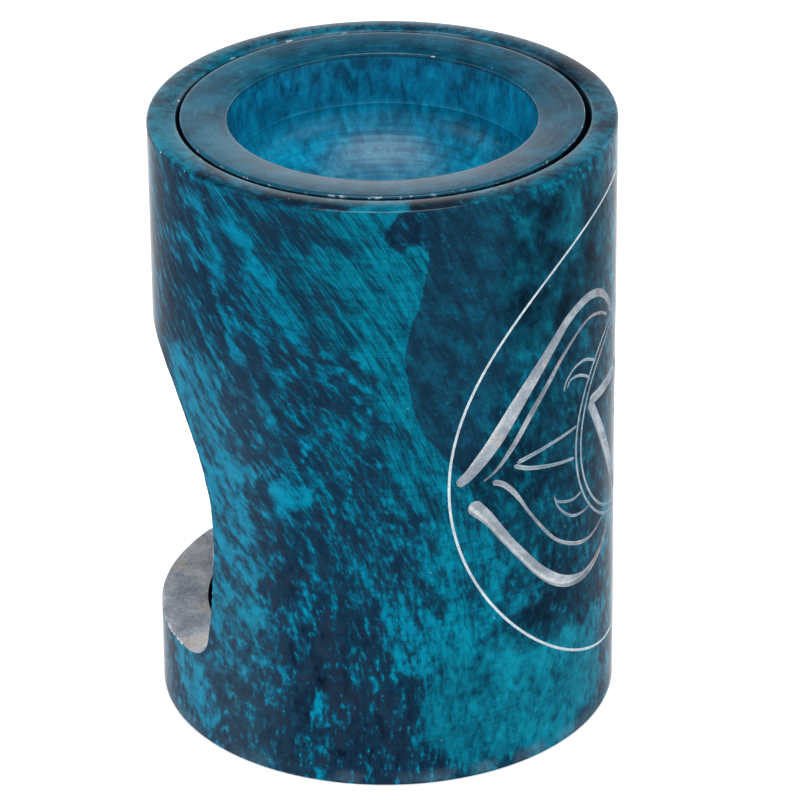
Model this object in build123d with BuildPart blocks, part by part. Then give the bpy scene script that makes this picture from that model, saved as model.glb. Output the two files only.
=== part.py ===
from build123d import *
import os
from math import sqrt

# An essential oil burner of soapstone. The body is one turned and bored cylinder: a pocket in its
# top holds a lift-out oil dish, and a mouth sawn across its back lets a tealight into the well.
# Millimetres, +Z up, origin at the centre of the base. The mouth opens towards +Y, and the
# engraved side faces -Y.

os.makedirs("parts", exist_ok=True)

# Body
body_diameter = 75.0
body_height = 102.0
rim_wall = 4.65
ledge_width = 3.05
base_thickness = 10.0
foot_bevel = 0.6
rim_edge_round = 0.35
well_corner_radius = 1.5

# Mouth, as a section of the saw cut seen along X
sill_rise = 4.8
sill_corner_radius = 5.0
throat_height = 29.0
throat_passing_clearance = 1.3
mouth_arc_radius = 39.1
heel_setback = 2.6
cut_overrun = 5.0

# Oil dish
dish_clearance = 0.75
dish_height = 26.0
dish_wall = 7.5
dish_rim_fall = 0.6
dish_edge_round = 0.4
bowl_wall_depth = 9.0
bowl_wall_taper = 0.9
bowl_step_width = 0.3
bowl_depth = 21.0

# Tealight
tealight_diameter = 38.0
cup_height = 15.5
cup_foil = 0.3
cup_draft = 0.7
cup_bead_radius = 0.5
wax_drop = 2.0
candle_fit = 0.05
wick_diameter = 1.6
wick_standout = 6.5
sustainer_diameter = 12.0
sustainer_thickness = 0.3
sustainer_neck_height = 4.0
sustainer_neck_wall = 0.4

# Radii and levels that follow from the sizes above
body_radius = body_diameter / 2
pocket_radius = body_radius - rim_wall
chamber_radius = pocket_radius - ledge_width
ledge_z = body_height - dish_height
well_floor_z = base_thickness
sill_z = well_floor_z + sill_rise
throat_z = well_floor_z + throat_height
dish_radius = pocket_radius - dish_clearance
bowl_radius = dish_radius - dish_wall
tealight_radius = tealight_diameter / 2
cup_top_z = well_floor_z + cup_height
cup_wall_top_radius = tealight_radius - cup_bead_radius
cup_base_radius = cup_wall_top_radius - cup_draft
wick_radius = wick_diameter / 2
wax_floor_z = well_floor_z + cup_foil
wax_top_z = cup_top_z - wax_drop

# The saw cut comes in until the chamber is just wide enough for the tealight to pass between the
# two jambs. Above that throat it swings out and up on a wide arc, and below it leans out a little
# as it comes down to the sill.
throat_half_width = tealight_radius + throat_passing_clearance
throat_y = sqrt(chamber_radius**2 - throat_half_width**2)
cut_end_y = body_radius + cut_overrun
mouth_arc_centre_y = throat_y + mouth_arc_radius
cut_end_z = throat_z + sqrt(mouth_arc_radius**2 - (mouth_arc_centre_y - cut_end_y) ** 2)
heel_y = throat_y + heel_setback

# Body: turned, bored and counterbored, then sawn open at the back
with BuildPart() as burner_body:
    with BuildSketch(Plane.XZ):
        with BuildLine():
            Polyline(
                (0, 0),
                (body_radius, 0),
                (body_radius, body_height),
                (pocket_radius, body_height),
                (pocket_radius, ledge_z),
                (chamber_radius, ledge_z),
                (chamber_radius, well_floor_z),
                (0, well_floor_z),
                close=True,
            )
        make_face()
    revolve(axis=Axis.Z)
    circles = burner_body.edges().filter_by(GeomType.CIRCLE)
    chamfer(circles.group_by(Axis.Z)[0], length=foot_bevel)
    rim_circles = burner_body.edges().filter_by(GeomType.CIRCLE).group_by(Axis.Z)[-1]
    fillet(rim_circles, radius=rim_edge_round)
    well_circle = (
        burner_body.edges()
        .filter_by(GeomType.CIRCLE)
        .filter_by_position(Axis.Z, well_floor_z, well_floor_z)
    )
    fillet(well_circle, radius=well_corner_radius)
    with BuildSketch(Plane.YZ) as mouth_section:
        with BuildLine():
            TangentArc((throat_y, throat_z), (cut_end_y, cut_end_z), tangent=(0, 1))
            Line((cut_end_y, cut_end_z), (cut_end_y, sill_z))
            Line((cut_end_y, sill_z), (heel_y, sill_z))
            TangentArc((throat_y, throat_z), (heel_y, sill_z), tangent=(0, -1))
        make_face()
        sill_corners = mouth_section.vertices().group_by(Axis.Y)[0]
        fillet(sill_corners.sort_by(Axis.X)[0], radius=sill_corner_radius)
    extrude(amount=body_radius, both=True, mode=Mode.SUBTRACT)
burner_body.part.label = "burner_body"
export_step(burner_body.part, "parts/burner_body.step")

# Oil dish: a turned puck with its rim flush with the body's. Its bowl is bored nearly straight down
# to a fine step, and hollowed in a round curve below that.
bowl_step_z = body_height - bowl_wall_depth
bowl_step_radius = bowl_radius - bowl_wall_taper
bowl_hollow_radius = bowl_step_radius - bowl_step_width
bowl_hollow_depth = bowl_depth - bowl_wall_depth
bowl_floor_z = body_height - bowl_depth
with BuildPart() as oil_dish:
    with BuildSketch(Plane.XZ):
        with BuildLine():
            Polyline(
                (0, bowl_floor_z),
                (0, ledge_z),
                (dish_radius, ledge_z),
                (dish_radius, body_height),
                (bowl_radius, body_height - dish_rim_fall),
                (bowl_step_radius, bowl_step_z),
                (bowl_hollow_radius, bowl_step_z),
            )
            EllipticalCenterArc(
                (0, bowl_step_z),
                bowl_hollow_radius,
                bowl_hollow_depth,
                start_angle=270,
                arc_size=90,
            )
        make_face()
    revolve(axis=Axis.Z)
    dish_outer_circles = oil_dish.edges().filter_by(GeomType.CIRCLE).sort_by(SortBy.RADIUS)[-2:]
    fillet(dish_outer_circles, radius=dish_edge_round)
oil_dish.part.label = "oil_dish"
export_step(oil_dish.part, "parts/oil_dish.step")

# Tealight cup: pressed foil with a little draft and a curled edge
with BuildPart() as tealight_cup:
    with BuildSketch(Plane.XZ):
        with BuildLine():
            Polyline(
                (0, well_floor_z),
                (cup_base_radius, well_floor_z),
                (cup_wall_top_radius, cup_top_z - cup_bead_radius),
                (cup_wall_top_radius - cup_foil, cup_top_z - cup_bead_radius),
                (cup_base_radius - cup_foil, wax_floor_z),
                (0, wax_floor_z),
                close=True,
            )
        make_face()
        with Locations((cup_wall_top_radius, cup_top_z - cup_bead_radius)):
            Circle(cup_bead_radius)
    revolve(axis=Axis.Z)
tealight_cup.part.label = "tealight_cup"
export_step(tealight_cup.part, "parts/tealight_cup.step")

# Wick sustainer: a steel disc on the cup's floor, with a neck that grips the wick
neck_bore_radius = wick_radius + candle_fit
neck_radius = neck_bore_radius + sustainer_neck_wall
disc_top_z = wax_floor_z + sustainer_thickness
neck_top_z = disc_top_z + sustainer_neck_height
with BuildPart() as wick_sustainer:
    with BuildSketch(Plane.XY.offset(wax_floor_z)):
        Circle(sustainer_diameter / 2)
    extrude(amount=sustainer_thickness)
    with BuildSketch(Plane.XY.offset(disc_top_z)):
        Circle(neck_radius)
        Circle(neck_bore_radius, mode=Mode.SUBTRACT)
    extrude(amount=sustainer_neck_height)
wick_sustainer.part.label = "wick_sustainer"
export_step(wick_sustainer.part, "parts/wick_sustainer.step")

# Wick: a braided cotton cord that stands in the neck and out of the wax
with BuildPart() as tealight_wick:
    with BuildSketch(Plane.XY.offset(disc_top_z)):
        Circle(wick_radius)
    extrude(amount=wax_top_z + wick_standout - disc_top_z)
tealight_wick.part.label = "tealight_wick"
export_step(tealight_wick.part, "parts/tealight_wick.step")

# Wax: fills the cup round the sustainer and the wick
cup_draft_per_height = cup_draft / (cup_height - cup_bead_radius)
wax_base_radius = cup_base_radius - cup_foil - candle_fit
wax_top_radius = wax_base_radius + cup_draft_per_height * (wax_top_z - wax_floor_z)
disc_pocket_radius = sustainer_diameter / 2 + candle_fit
neck_pocket_radius = neck_radius + candle_fit
wick_hole_radius = wick_radius + candle_fit
with BuildPart() as tealight_wax:
    with BuildSketch(Plane.XZ):
        with BuildLine():
            Polyline(
                (disc_pocket_radius, wax_floor_z),
                (wax_base_radius, wax_floor_z),
                (wax_top_radius, wax_top_z),
                (wick_hole_radius, wax_top_z),
                (wick_hole_radius, neck_top_z),
                (neck_pocket_radius, neck_top_z),
                (neck_pocket_radius, disc_top_z),
                (disc_pocket_radius, disc_top_z),
                close=True,
            )
        make_face()
    revolve(axis=Axis.Z)
tealight_wax.part.label = "tealight_wax"
export_step(tealight_wax.part, "parts/tealight_wax.step")
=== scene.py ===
from functools import partial
from math import atan2, ceil, cos, hypot, pi, radians, sin, sqrt

import bpy
import numpy as np
from mathutils import Matrix, Vector


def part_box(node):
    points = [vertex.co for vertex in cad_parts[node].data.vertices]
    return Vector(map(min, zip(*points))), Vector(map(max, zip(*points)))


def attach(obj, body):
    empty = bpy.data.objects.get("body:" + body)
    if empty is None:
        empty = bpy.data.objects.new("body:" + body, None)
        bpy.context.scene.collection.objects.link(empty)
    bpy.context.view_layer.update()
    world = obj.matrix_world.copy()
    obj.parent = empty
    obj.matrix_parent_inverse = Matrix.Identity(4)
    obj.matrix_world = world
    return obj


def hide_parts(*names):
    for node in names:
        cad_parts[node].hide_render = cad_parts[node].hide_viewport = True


# An essential oil burner of soapstone: a turned, dyed and polished body with a saw-cut mouth and
# an engraved figure, a loose oil dish in its top, and the tealight that stands in its well.
# Lengths are in millimetres until a piece is made. Angles round the axis are counted from the
# front (-Y) and grow to the right, so a point at angle t and radius r is (r sin t, -r cos t).

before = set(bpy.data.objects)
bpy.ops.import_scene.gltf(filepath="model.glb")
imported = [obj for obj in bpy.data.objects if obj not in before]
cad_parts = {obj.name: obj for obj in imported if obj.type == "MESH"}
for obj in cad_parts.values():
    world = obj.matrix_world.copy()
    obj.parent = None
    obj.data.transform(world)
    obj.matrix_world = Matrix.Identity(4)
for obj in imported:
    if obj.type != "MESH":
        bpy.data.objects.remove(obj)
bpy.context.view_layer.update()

MM = 0.001


def cad_corners(node):
    """Lowest and highest corner of a node of the frame, in millimetres."""
    low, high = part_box(node)
    return np.array(low) / MM, np.array(high) / MM


body_low, body_high = cad_corners("burner_body")
dish_low, dish_high = cad_corners("oil_dish")
cup_low, cup_high = cad_corners("tealight_cup")
wax_low, wax_high = cad_corners("tealight_wax")
wick_low, wick_high = cad_corners("tealight_wick")
sustainer_low, sustainer_high = cad_corners("wick_sustainer")

BODY_RADIUS = (body_high[0] - body_low[0]) / 2
BODY_HEIGHT = body_high[2]
DISH_RADIUS = (dish_high[0] - dish_low[0]) / 2
LEDGE_Z = dish_low[2]
WELL_FLOOR_Z = cup_low[2]
TEALIGHT_RADIUS = (cup_high[0] - cup_low[0]) / 2

# Body
DISH_CLEARANCE = 0.75
LEDGE_WIDTH = 3.05
POCKET_RADIUS = DISH_RADIUS + DISH_CLEARANCE
CHAMBER_RADIUS = POCKET_RADIUS - LEDGE_WIDTH
FOOT_ROUND = 0.7
RIM_ROUND = 0.45
RIM_CROWN = 0.22
POCKET_LIP_ROUND = 0.3
LEDGE_CORNER = 0.4
LEDGE_EDGE_ROUND = 0.3
WELL_CORNER = 1.5
TURNING_ERROR = 0.09
TURNING_ERROR_WAVE = 46.0
POCKET_OFFSET = 0.18

# Mouth
SILL_RISE = 4.8
THROAT_HEIGHT = 29.0
PASSING_CLEARANCE = 1.3
SILL_Z = WELL_FLOOR_Z + SILL_RISE
THROAT_Z = WELL_FLOOR_Z + THROAT_HEIGHT
THROAT_HALF_WIDTH = TEALIGHT_RADIUS + PASSING_CLEARANCE
THROAT_Y = sqrt(CHAMBER_RADIUS**2 - THROAT_HALF_WIDTH**2)
MOUTH_ARC_RADIUS = 39.1
HEEL_SETBACK = 2.6
SILL_CORNER = 5.0
CUT_OVERRUN = 4.0
SAW_MARK_PITCH = 1.7
SAW_MARK_DEPTH = 0.05

# Oil dish. The flange falls inwards from the rim, and the bowl's wall ends in a fine step
DISH_TOP_Z = dish_high[2]
DISH_WALL = 7.5
BOWL_WALL_DEPTH = 9.0
BOWL_DEPTH = 21.0
BOWL_RADIUS = DISH_RADIUS - DISH_WALL
BOWL_STEP_Z = BODY_HEIGHT - BOWL_WALL_DEPTH
BOWL_FLOOR_Z = BODY_HEIGHT - BOWL_DEPTH
BOWL_WALL_TAPER = 0.9
BOWL_STEP_WIDTH = 0.1
FLANGE_FALL = 0.6
DISH_FOOT_ROUND = 0.4
DISH_RIM_ROUND = 0.3
BOWL_LIP_ROUND = 0.35
BOWL_STEP_ROUND = 0.04
RING_MARK_PITCH = 1.35
RING_MARK_DEPTH = 0.015

# Tealight
FOIL = 0.3
CUP_BEAD = 0.5
CUP_DRAFT = 0.7
FLUTES = 48
FLUTE_DEPTH = 0.06
WAX_DISH = 0.35
STRANDS = 3
STRAND_RADIUS = 0.38
BRAID_PITCH = 2.6
BRAID_HALF_WIDTH = 0.36
BRAID_HALF_DEPTH = 0.26
FOOT_DISC = 0.3
NECK_RADIUS = 1.25
NECK_BORE_RADIUS = 0.85

# Middle of the engraved figure
FIGURE_ANGLE = radians(4.0)
FIGURE_Z = 53.1

# The photograph's camera, from a fit of the rim, the foot and the two side outlines
CAMERA_AZIMUTH = radians(-78.0)
CAMERA_ELEVATION = radians(27.348)
CAMERA_ROLL = radians(-0.587)
CAMERA_DISTANCE = 785.1
CAMERA_TARGET_Z = 50.9
CAMERA_LENS = 216.92
CAMERA_SHIFT = (0.01834, -0.0021)


# Numbers and outlines

def ripples(points, size, seed, waves=14):
    """Smooth random field of about -1 to 1: a sum of sine waves of random direction and phase, of
    wavelengths near `size`, taken at each row of `points`."""
    random = np.random.default_rng(seed)
    direction = random.normal(size=(waves, points.shape[-1]))
    direction /= np.linalg.norm(direction, axis=1, keepdims=True)
    wavelength = size * random.uniform(0.7, 1.6, size=(waves, 1))
    phase = random.uniform(0, 2 * pi, size=waves)
    field = np.sin(points @ (2 * pi * direction / wavelength).T + phase).sum(-1)
    return field / sqrt(waves)


def soft_step(value, low, high):
    """0 below `low`, 1 above `high`, and the cubic 3u^2 - 2u^3 between."""
    u = np.clip((value - low) / (high - low), 0, 1)
    return u * u * (3 - 2 * u)


def arc(centre, radius, start, end, step):
    """Points of a circular arc from angle `start` to `end`, no further apart than `step`."""
    count = max(3, ceil(abs(end - start) * radius / step) + 1)
    angle = np.linspace(start, end, count)
    return np.stack([centre[0] + radius * np.cos(angle), centre[1] + radius * np.sin(angle)], axis=1)


def run(start, end, step):
    """Points of a straight run, ends left out, no further apart than `step`."""
    start, end = np.array(start, float), np.array(end, float)
    count = ceil(hypot(*(end - start)) / step) + 1
    share = np.linspace(0, 1, count)[1:-1, None]
    return start + share * (end - start)


def rounded_outline(corners, arc_step=0.15):
    """Outline through corners (across, up, radius, step). Each inner corner becomes an arc tangent
    to its two runs, and the run that follows a corner is divided into pieces of `step`."""
    places = np.array([corner[:2] for corner in corners], float)
    pieces = []
    for index, corner in enumerate(corners):
        place, radius = places[index], corner[2]
        if 0 < index < len(corners) - 1 and radius > 0:
            back = places[index - 1] - place
            ahead = places[index + 1] - place
            back /= hypot(*back)
            ahead /= hypot(*ahead)
            half = np.arccos(np.clip(back @ ahead, -1, 1)) / 2
            middle = (back + ahead) / hypot(*(back + ahead))
            centre = place + middle * radius / sin(half)
            first = place + back * radius / np.tan(half) - centre
            last = place + ahead * radius / np.tan(half) - centre
            start = atan2(first[1], first[0])
            turn = (atan2(last[1], last[0]) - start + pi) % (2 * pi) - pi
            pieces.append(arc(centre, radius, start, start + turn, arc_step))
        else:
            pieces.append(place[None])
        if index:
            pieces.insert(-1, run(pieces[-2][-1], pieces[-1][0], corners[index - 1][3]))
    return np.concatenate(pieces)


def smooth_path(points, step):
    """Points spaced `step` apart on the Catmull-Rom curve through `points`: between two points the
    cubic that leaves and arrives parallel to the chord of its neighbours."""
    points = np.asarray(points, float)
    ends = 2 * points[[0, -1]] - points[[1, -2]]
    padded = np.concatenate([ends[:1], points, ends[1:]])
    u = np.linspace(0, 1, 24, endpoint=False)[None, :, None]
    a, b, c, d = (padded[k : len(padded) - 3 + k, None] for k in range(4))
    curve = b + 0.5 * u * (c - a + u * (2 * a - 5 * b + 4 * c - d + u * (3 * (b - c) + d - a)))
    return even_spacing(np.concatenate([curve.reshape(-1, points.shape[1]), points[-1:]]), step)


def even_spacing(points, step):
    """The same path with its points spaced about `step` apart, measured along the path."""
    reach = np.concatenate([[0], np.cumsum(np.linalg.norm(np.diff(points, axis=0), axis=1))])
    places = np.linspace(0, reach[-1], max(4, ceil(reach[-1] / step) + 1))
    return np.stack([np.interp(places, reach, column) for column in points.T], axis=1)


# Meshes

def grid_quads(rows, columns, close_rows=False, close_columns=False):
    """Quads that join the points of a rows x columns grid, numbered row by row."""
    row = np.arange(rows if close_rows else rows - 1)
    column = np.arange(columns if close_columns else columns - 1)
    row, column = (part.ravel() for part in np.meshgrid(row, column, indexing="ij"))
    below, beside = (row + 1) % rows, (column + 1) % columns
    corners = (row * columns + column, row * columns + beside)
    corners += (below * columns + beside, below * columns + column)
    return np.stack(corners, axis=1)


def signed_volume(points, faces):
    """Six times the volume inside a closed mesh, by fans of triangles from each face's first
    corner: positive where the faces point outwards."""
    total = 0.0
    for size in {len(face) for face in faces}:
        block = np.array([face for face in faces if len(face) == size])
        for k in range(1, size - 1):
            a, b, c = points[block[:, 0]], points[block[:, k]], points[block[:, k + 1]]
            total += np.einsum("ij,ij->", a, np.cross(b, c))
    return total


def new_mesh(name, points, faces, finish=0):
    """A closed mesh in metres from points in millimetres, with its faces pointing outwards and all
    in material slot `finish`."""
    faces = [list(map(int, face)) for face in faces]
    if signed_volume(points, faces) < 0:
        faces = [face[::-1] for face in faces]
    mesh = bpy.data.meshes.new(name)
    mesh.from_pydata((points * MM).tolist(), [], faces)
    mesh.polygons.foreach_set("material_index", np.full(len(faces), finish, np.int32))
    mesh.polygons.foreach_set("use_smooth", np.ones(len(faces), bool))
    mesh.update()
    return mesh


def new_object(name, mesh, materials=()):
    """Puts a mesh in the scene, at the origin, with its material slots."""
    for material in materials:
        mesh.materials.append(material)
    piece = bpy.data.objects.new(name, mesh)
    bpy.context.scene.collection.objects.link(piece)
    return piece


def turned(outline, turns):
    """Points and faces of a solid of revolution: each outline point (r, z) at angle t is
    (r sin t, -r cos t, z). The outline's two ends lie on the axis and become single points."""
    angle = np.linspace(0, 2 * pi, turns, endpoint=False)
    radius, height = outline[1:-1, 0, None], outline[1:-1, 1, None]
    wall = np.stack(np.broadcast_arrays(radius * np.sin(angle), -radius * np.cos(angle), height), -1)
    poles = [[[0, 0, outline[0, 1]]], [[0, 0, outline[-1, 1]]]]
    points = np.concatenate([wall.reshape(-1, 3), *poles])
    first, last = len(points) - 2, len(points) - 1
    ring = np.arange(turns)
    ahead = (ring + 1) % turns
    start = last - 1 - turns
    faces = grid_quads(len(outline) - 2, turns, close_columns=True).tolist()
    faces += np.stack([ahead, ring, np.full(turns, first)], axis=1).tolist()
    faces += np.stack([start + ring, start + ahead, np.full(turns, last)], axis=1).tolist()
    return points, faces


def tube(rings, closed=False):
    """Points and faces of a solid whose surface joins rings of points, an array of ring x corner
    x 3. It closes on itself, or ends in a flat cap on its first and last ring."""
    count, corners = rings.shape[:2]
    faces = grid_quads(count, corners, close_rows=closed, close_columns=True).tolist()
    if not closed:
        faces.append(list(range(corners))[::-1])
        faces.append(list(range((count - 1) * corners, count * corners)))
    return rings.reshape(-1, 3), faces


def wall_error(points):
    """How far the turned wall stands off a true cylinder at each point, in mm: a smooth random
    field, cut off so that the wall never stands proud."""
    field = ripples(points * [1, 1, 0.7], TURNING_ERROR_WAVE, seed=3)
    return TURNING_ERROR * np.minimum(field - 1.2, 0)


def on_wall(across, up, out=0.0):
    """The point of the body's wall `across` mm round it from the figure's centre and `up` mm from
    there, `out` mm proud of it."""
    angle = FIGURE_ANGLE + across / BODY_RADIUS
    around = np.stack(np.broadcast_arrays(np.sin(angle), -np.cos(angle), 0 * angle), -1)
    level = np.broadcast_to(FIGURE_Z + np.asarray(up), angle.shape)[..., None] * [0, 0, 1]
    radius = BODY_RADIUS + out + wall_error(BODY_RADIUS * around + level)
    return radius[..., None] * around + level


def carved(name, mesh, cutters, materials):
    """The mesh less each cutter in turn, as a new object. Cut faces keep the cutter's slot."""
    stone = new_object(name, mesh, materials)
    helpers = []
    for number, cutter in enumerate(cutters):
        helper = new_object(f"cutter_{number}", cutter, materials)
        helpers.append(helper)
        cut = stone.modifiers.new(f"cut_{number}", "BOOLEAN")
        cut.operation = "DIFFERENCE"
        cut.solver = "MANIFOLD"
        cut.object = helper
    graph = bpy.context.evaluated_depsgraph_get()
    finished = bpy.data.meshes.new_from_object(stone.evaluated_get(graph))
    stone.modifiers.clear()
    stone.data = finished
    for helper in helpers:
        bpy.data.meshes.remove(helper.data)
    finished.name = name
    return stone


def points_of(mesh):
    """The mesh's points in millimetres, as an array."""
    flat = np.empty(len(mesh.vertices) * 3)
    mesh.vertices.foreach_get("co", flat)
    return flat.reshape(-1, 3) / MM


def crease(mesh, angle):
    """Shades the mesh smooth, apart from edges that turn by more than `angle`."""
    mesh.polygons.foreach_set("use_smooth", np.ones(len(mesh.polygons), bool))
    mesh.set_sharp_from_angle(angle=angle)
    mesh.update()


# Materials

# The shader nodes that the finishes are made of. Each name stands for a type of node, its settings,
# the inputs that take its values in turn, and the output that is read
NODES = {
    "place": ("TexCoord", {}, (), "Object"),
    "direction": ("TexCoord", {}, (), "Generated"),
    "stored": ("Attribute", {}, (), "Fac"),
    "x_of": ("SeparateXYZ", {}, (0,), "X"),
    "z_of": ("SeparateXYZ", {}, (0,), "Z"),
    "scaled": ("VectorMath", {"operation": "SCALE"}, (0, "Scale"), 0),
    "stretched": ("VectorMath", {"operation": "MULTIPLY"}, (0, 1), 0),
    "offset_from": ("VectorMath", {"operation": "SUBTRACT"}, (0, 1), 0),
    "length": ("VectorMath", {"operation": "LENGTH"}, (0,), "Value"),
    "turned": ("VectorRotate", {"rotation_type": "Z_AXIS"}, ("Vector", "Angle"), 0),
    "noise": ("TexNoise", {}, ("Vector", "Scale", "Detail", "Roughness", "Distortion"), "Fac"),
    "noise_along": ("TexNoise", {"noise_dimensions": "1D"}, ("W", "Scale", "Detail"), "Fac"),
    "cells": ("TexVoronoi", {}, ("Vector", "Scale"), "Distance"),
    "sum": ("Math", {"operation": "ADD"}, (0, 1), 0),
    "product": ("Math", {"operation": "MULTIPLY"}, (0, 1), 0),
    "times_plus": ("Math", {"operation": "MULTIPLY_ADD"}, (0, 1, 2), 0),
    "larger": ("Math", {"operation": "MAXIMUM"}, (0, 1), 0),
    "span": ("MapRange", {"interpolation_type": "SMOOTHSTEP"},
             ("Value", "From Min", "From Max", "To Min", "To Max"), 0),
    "either": ("Mix", {}, (0, 2, 3), 0),
    "blend": ("Mix", {"data_type": "RGBA"}, (0, 6, 7), 2),
    "darken": ("Mix", {"data_type": "RGBA", "blend_type": "MULTIPLY"}, (0, 6, 7), 2),
    "ramp": ("ValToRGB", {}, (0,), 0),
    "relief": ("Bump", {}, ("Height", "Strength", "Distance"), 0),
}


def linear(hex_colour):
    """An sRGB hex colour as linear red, green, blue and alpha."""
    parts = [int(hex_colour[k : k + 2], 16) / 255 for k in (1, 3, 5)]
    return [p / 12.92 if p <= 0.04045 else ((p + 0.055) / 1.055) ** 2.4 for p in parts] + [1.0]


def connect(node, inputs):
    """Gives a node its inputs: a socket is linked, and a hex colour is turned linear."""
    for key, value in inputs.items():
        if isinstance(value, bpy.types.NodeSocket):
            node.id_data.links.new(value, node.inputs[key])
        else:
            node.inputs[key].default_value = linear(value) if isinstance(value, str) else value


def add_node(tree, name, *values, stops=(), **settings):
    """Adds the node that `name` stands for in NODES and gives back its output. Its inputs take the
    values in turn, and a colour ramp takes its stops, (place, hex colour)."""
    kind, own_settings, inputs, output = NODES[name]
    node = tree.nodes.new("ShaderNode" + kind)
    for key, value in {**own_settings, **settings}.items():
        setattr(node, key, value)
    if stops:
        elements = node.color_ramp.elements
        for _ in stops[2:]:
            elements.new(0.5)
        for element, (place, colour) in zip(elements, stops):
            element.position = place
            element.color = linear(colour)
    connect(node, dict(zip(inputs, values)))
    return node.outputs[output]


def new_material(name):
    """A material, its Principled shader, and the function that adds nodes to its tree."""
    material = bpy.data.materials.new(name)
    material.use_nodes = True
    tree = material.node_tree
    tree.nodes.clear()
    shader = tree.nodes.new("ShaderNodeBsdfPrincipled")
    output = tree.nodes.new("ShaderNodeOutputMaterial")
    tree.links.new(shader.outputs[0], output.inputs["Surface"])
    return material, shader, partial(add_node, tree)


def in_millimetres(add):
    """Object coordinates in millimetres."""
    return add("scaled", add("place"), 1 / MM)


def grains(add, place, across, along=None, detail=4.0, roughness=0.55, distortion=0.0):
    """A random pattern of grains `across` mm wide and `along` mm high, from 0 to 1."""
    in_grains = add("stretched", place, (1 / across, 1 / across, 1 / (along or across)))
    return add("noise", in_grains, 1.0, detail, roughness, distortion)


def sum_of(add, *values):
    """The sum of several numbers."""
    total = values[0]
    for value in values[1:]:
        total = add("sum", total, value)
    return total


def along_grain(add, place):
    """Place turned about the axis by the mesh's own grain_turn, so that lines of the grain, which
    wind down to the right round the wall, become upright."""
    return add("turned", place, add("stored", attribute_name="grain_turn"))


def turning_scratches(add, place):
    """Fine level scratches that the polishing cloth leaves on a turning wall."""
    return grains(add, place, 60.0, 0.3, detail=3.0, roughness=0.8)


def pale_flecks(add, place):
    """Sparse bare specks of a tenth of a millimetre, where the dye found no hold."""
    specks = add("span", add("cells", place, 0.3), 0.045, 0.03)
    return add("product", specks, add("span", grains(add, place, 5.0), 0.5, 0.56, 0.0, 0.5))


# What lay_of_dye stores for the dyed stone, one number per point
DYE_FIELDS = ("teal_lean", "streaked", "cloudy", "bloom_and_sheen", "green", "smoky", "past_vein_edge", "vein",
              "bored")

# Colours of the polished stone, from bare and dark to the fullest teal, as stops of a ramp
BLUE_TEAL = [(0.1, "#03101f"), (0.28, "#0e2539"), (0.42, "#103046"), (0.49, "#0d4159"),
             (0.55, "#075974"), (0.61, "#046d8c"), (0.74, "#04809f")]
GREEN_TEAL = [(0.28, "#0a283c"), (0.42, "#0a3449"), (0.49, "#064a5f"), (0.55, "#045e75"),
              (0.61, "#056e85"), (0.74, "#067e95")]
CLOUDED_TEAL = [(0.3, "#021724"), (0.42, "#052a3b"), (0.52, "#063c4f"), (0.64, "#07576b"),
                (0.74, "#0a6f83"), (0.86, "#0c8498")]
DARK_VEIN = [(0.34, "#0c2437"), (0.47, "#103145"), (0.54, "#0f4157"), (0.66, "#08536b")]
BORED_STONE = [(0.34, "#060f16"), (0.48, "#0a1e2a"), (0.6, "#0d2f3e"), (0.72, "#124456")]
# The last of these is the pale of wax bloom, which is also a painted sheen and a painted highlight
SMOKE, BARE_FLECK, BLOOM_AND_SHEEN = "#232f40", "#86b3bf", "#7790a0"
SCRATCH_SHADE = [(0.35, "#dcdcdc"), (0.65, "#ffffff")]


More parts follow.
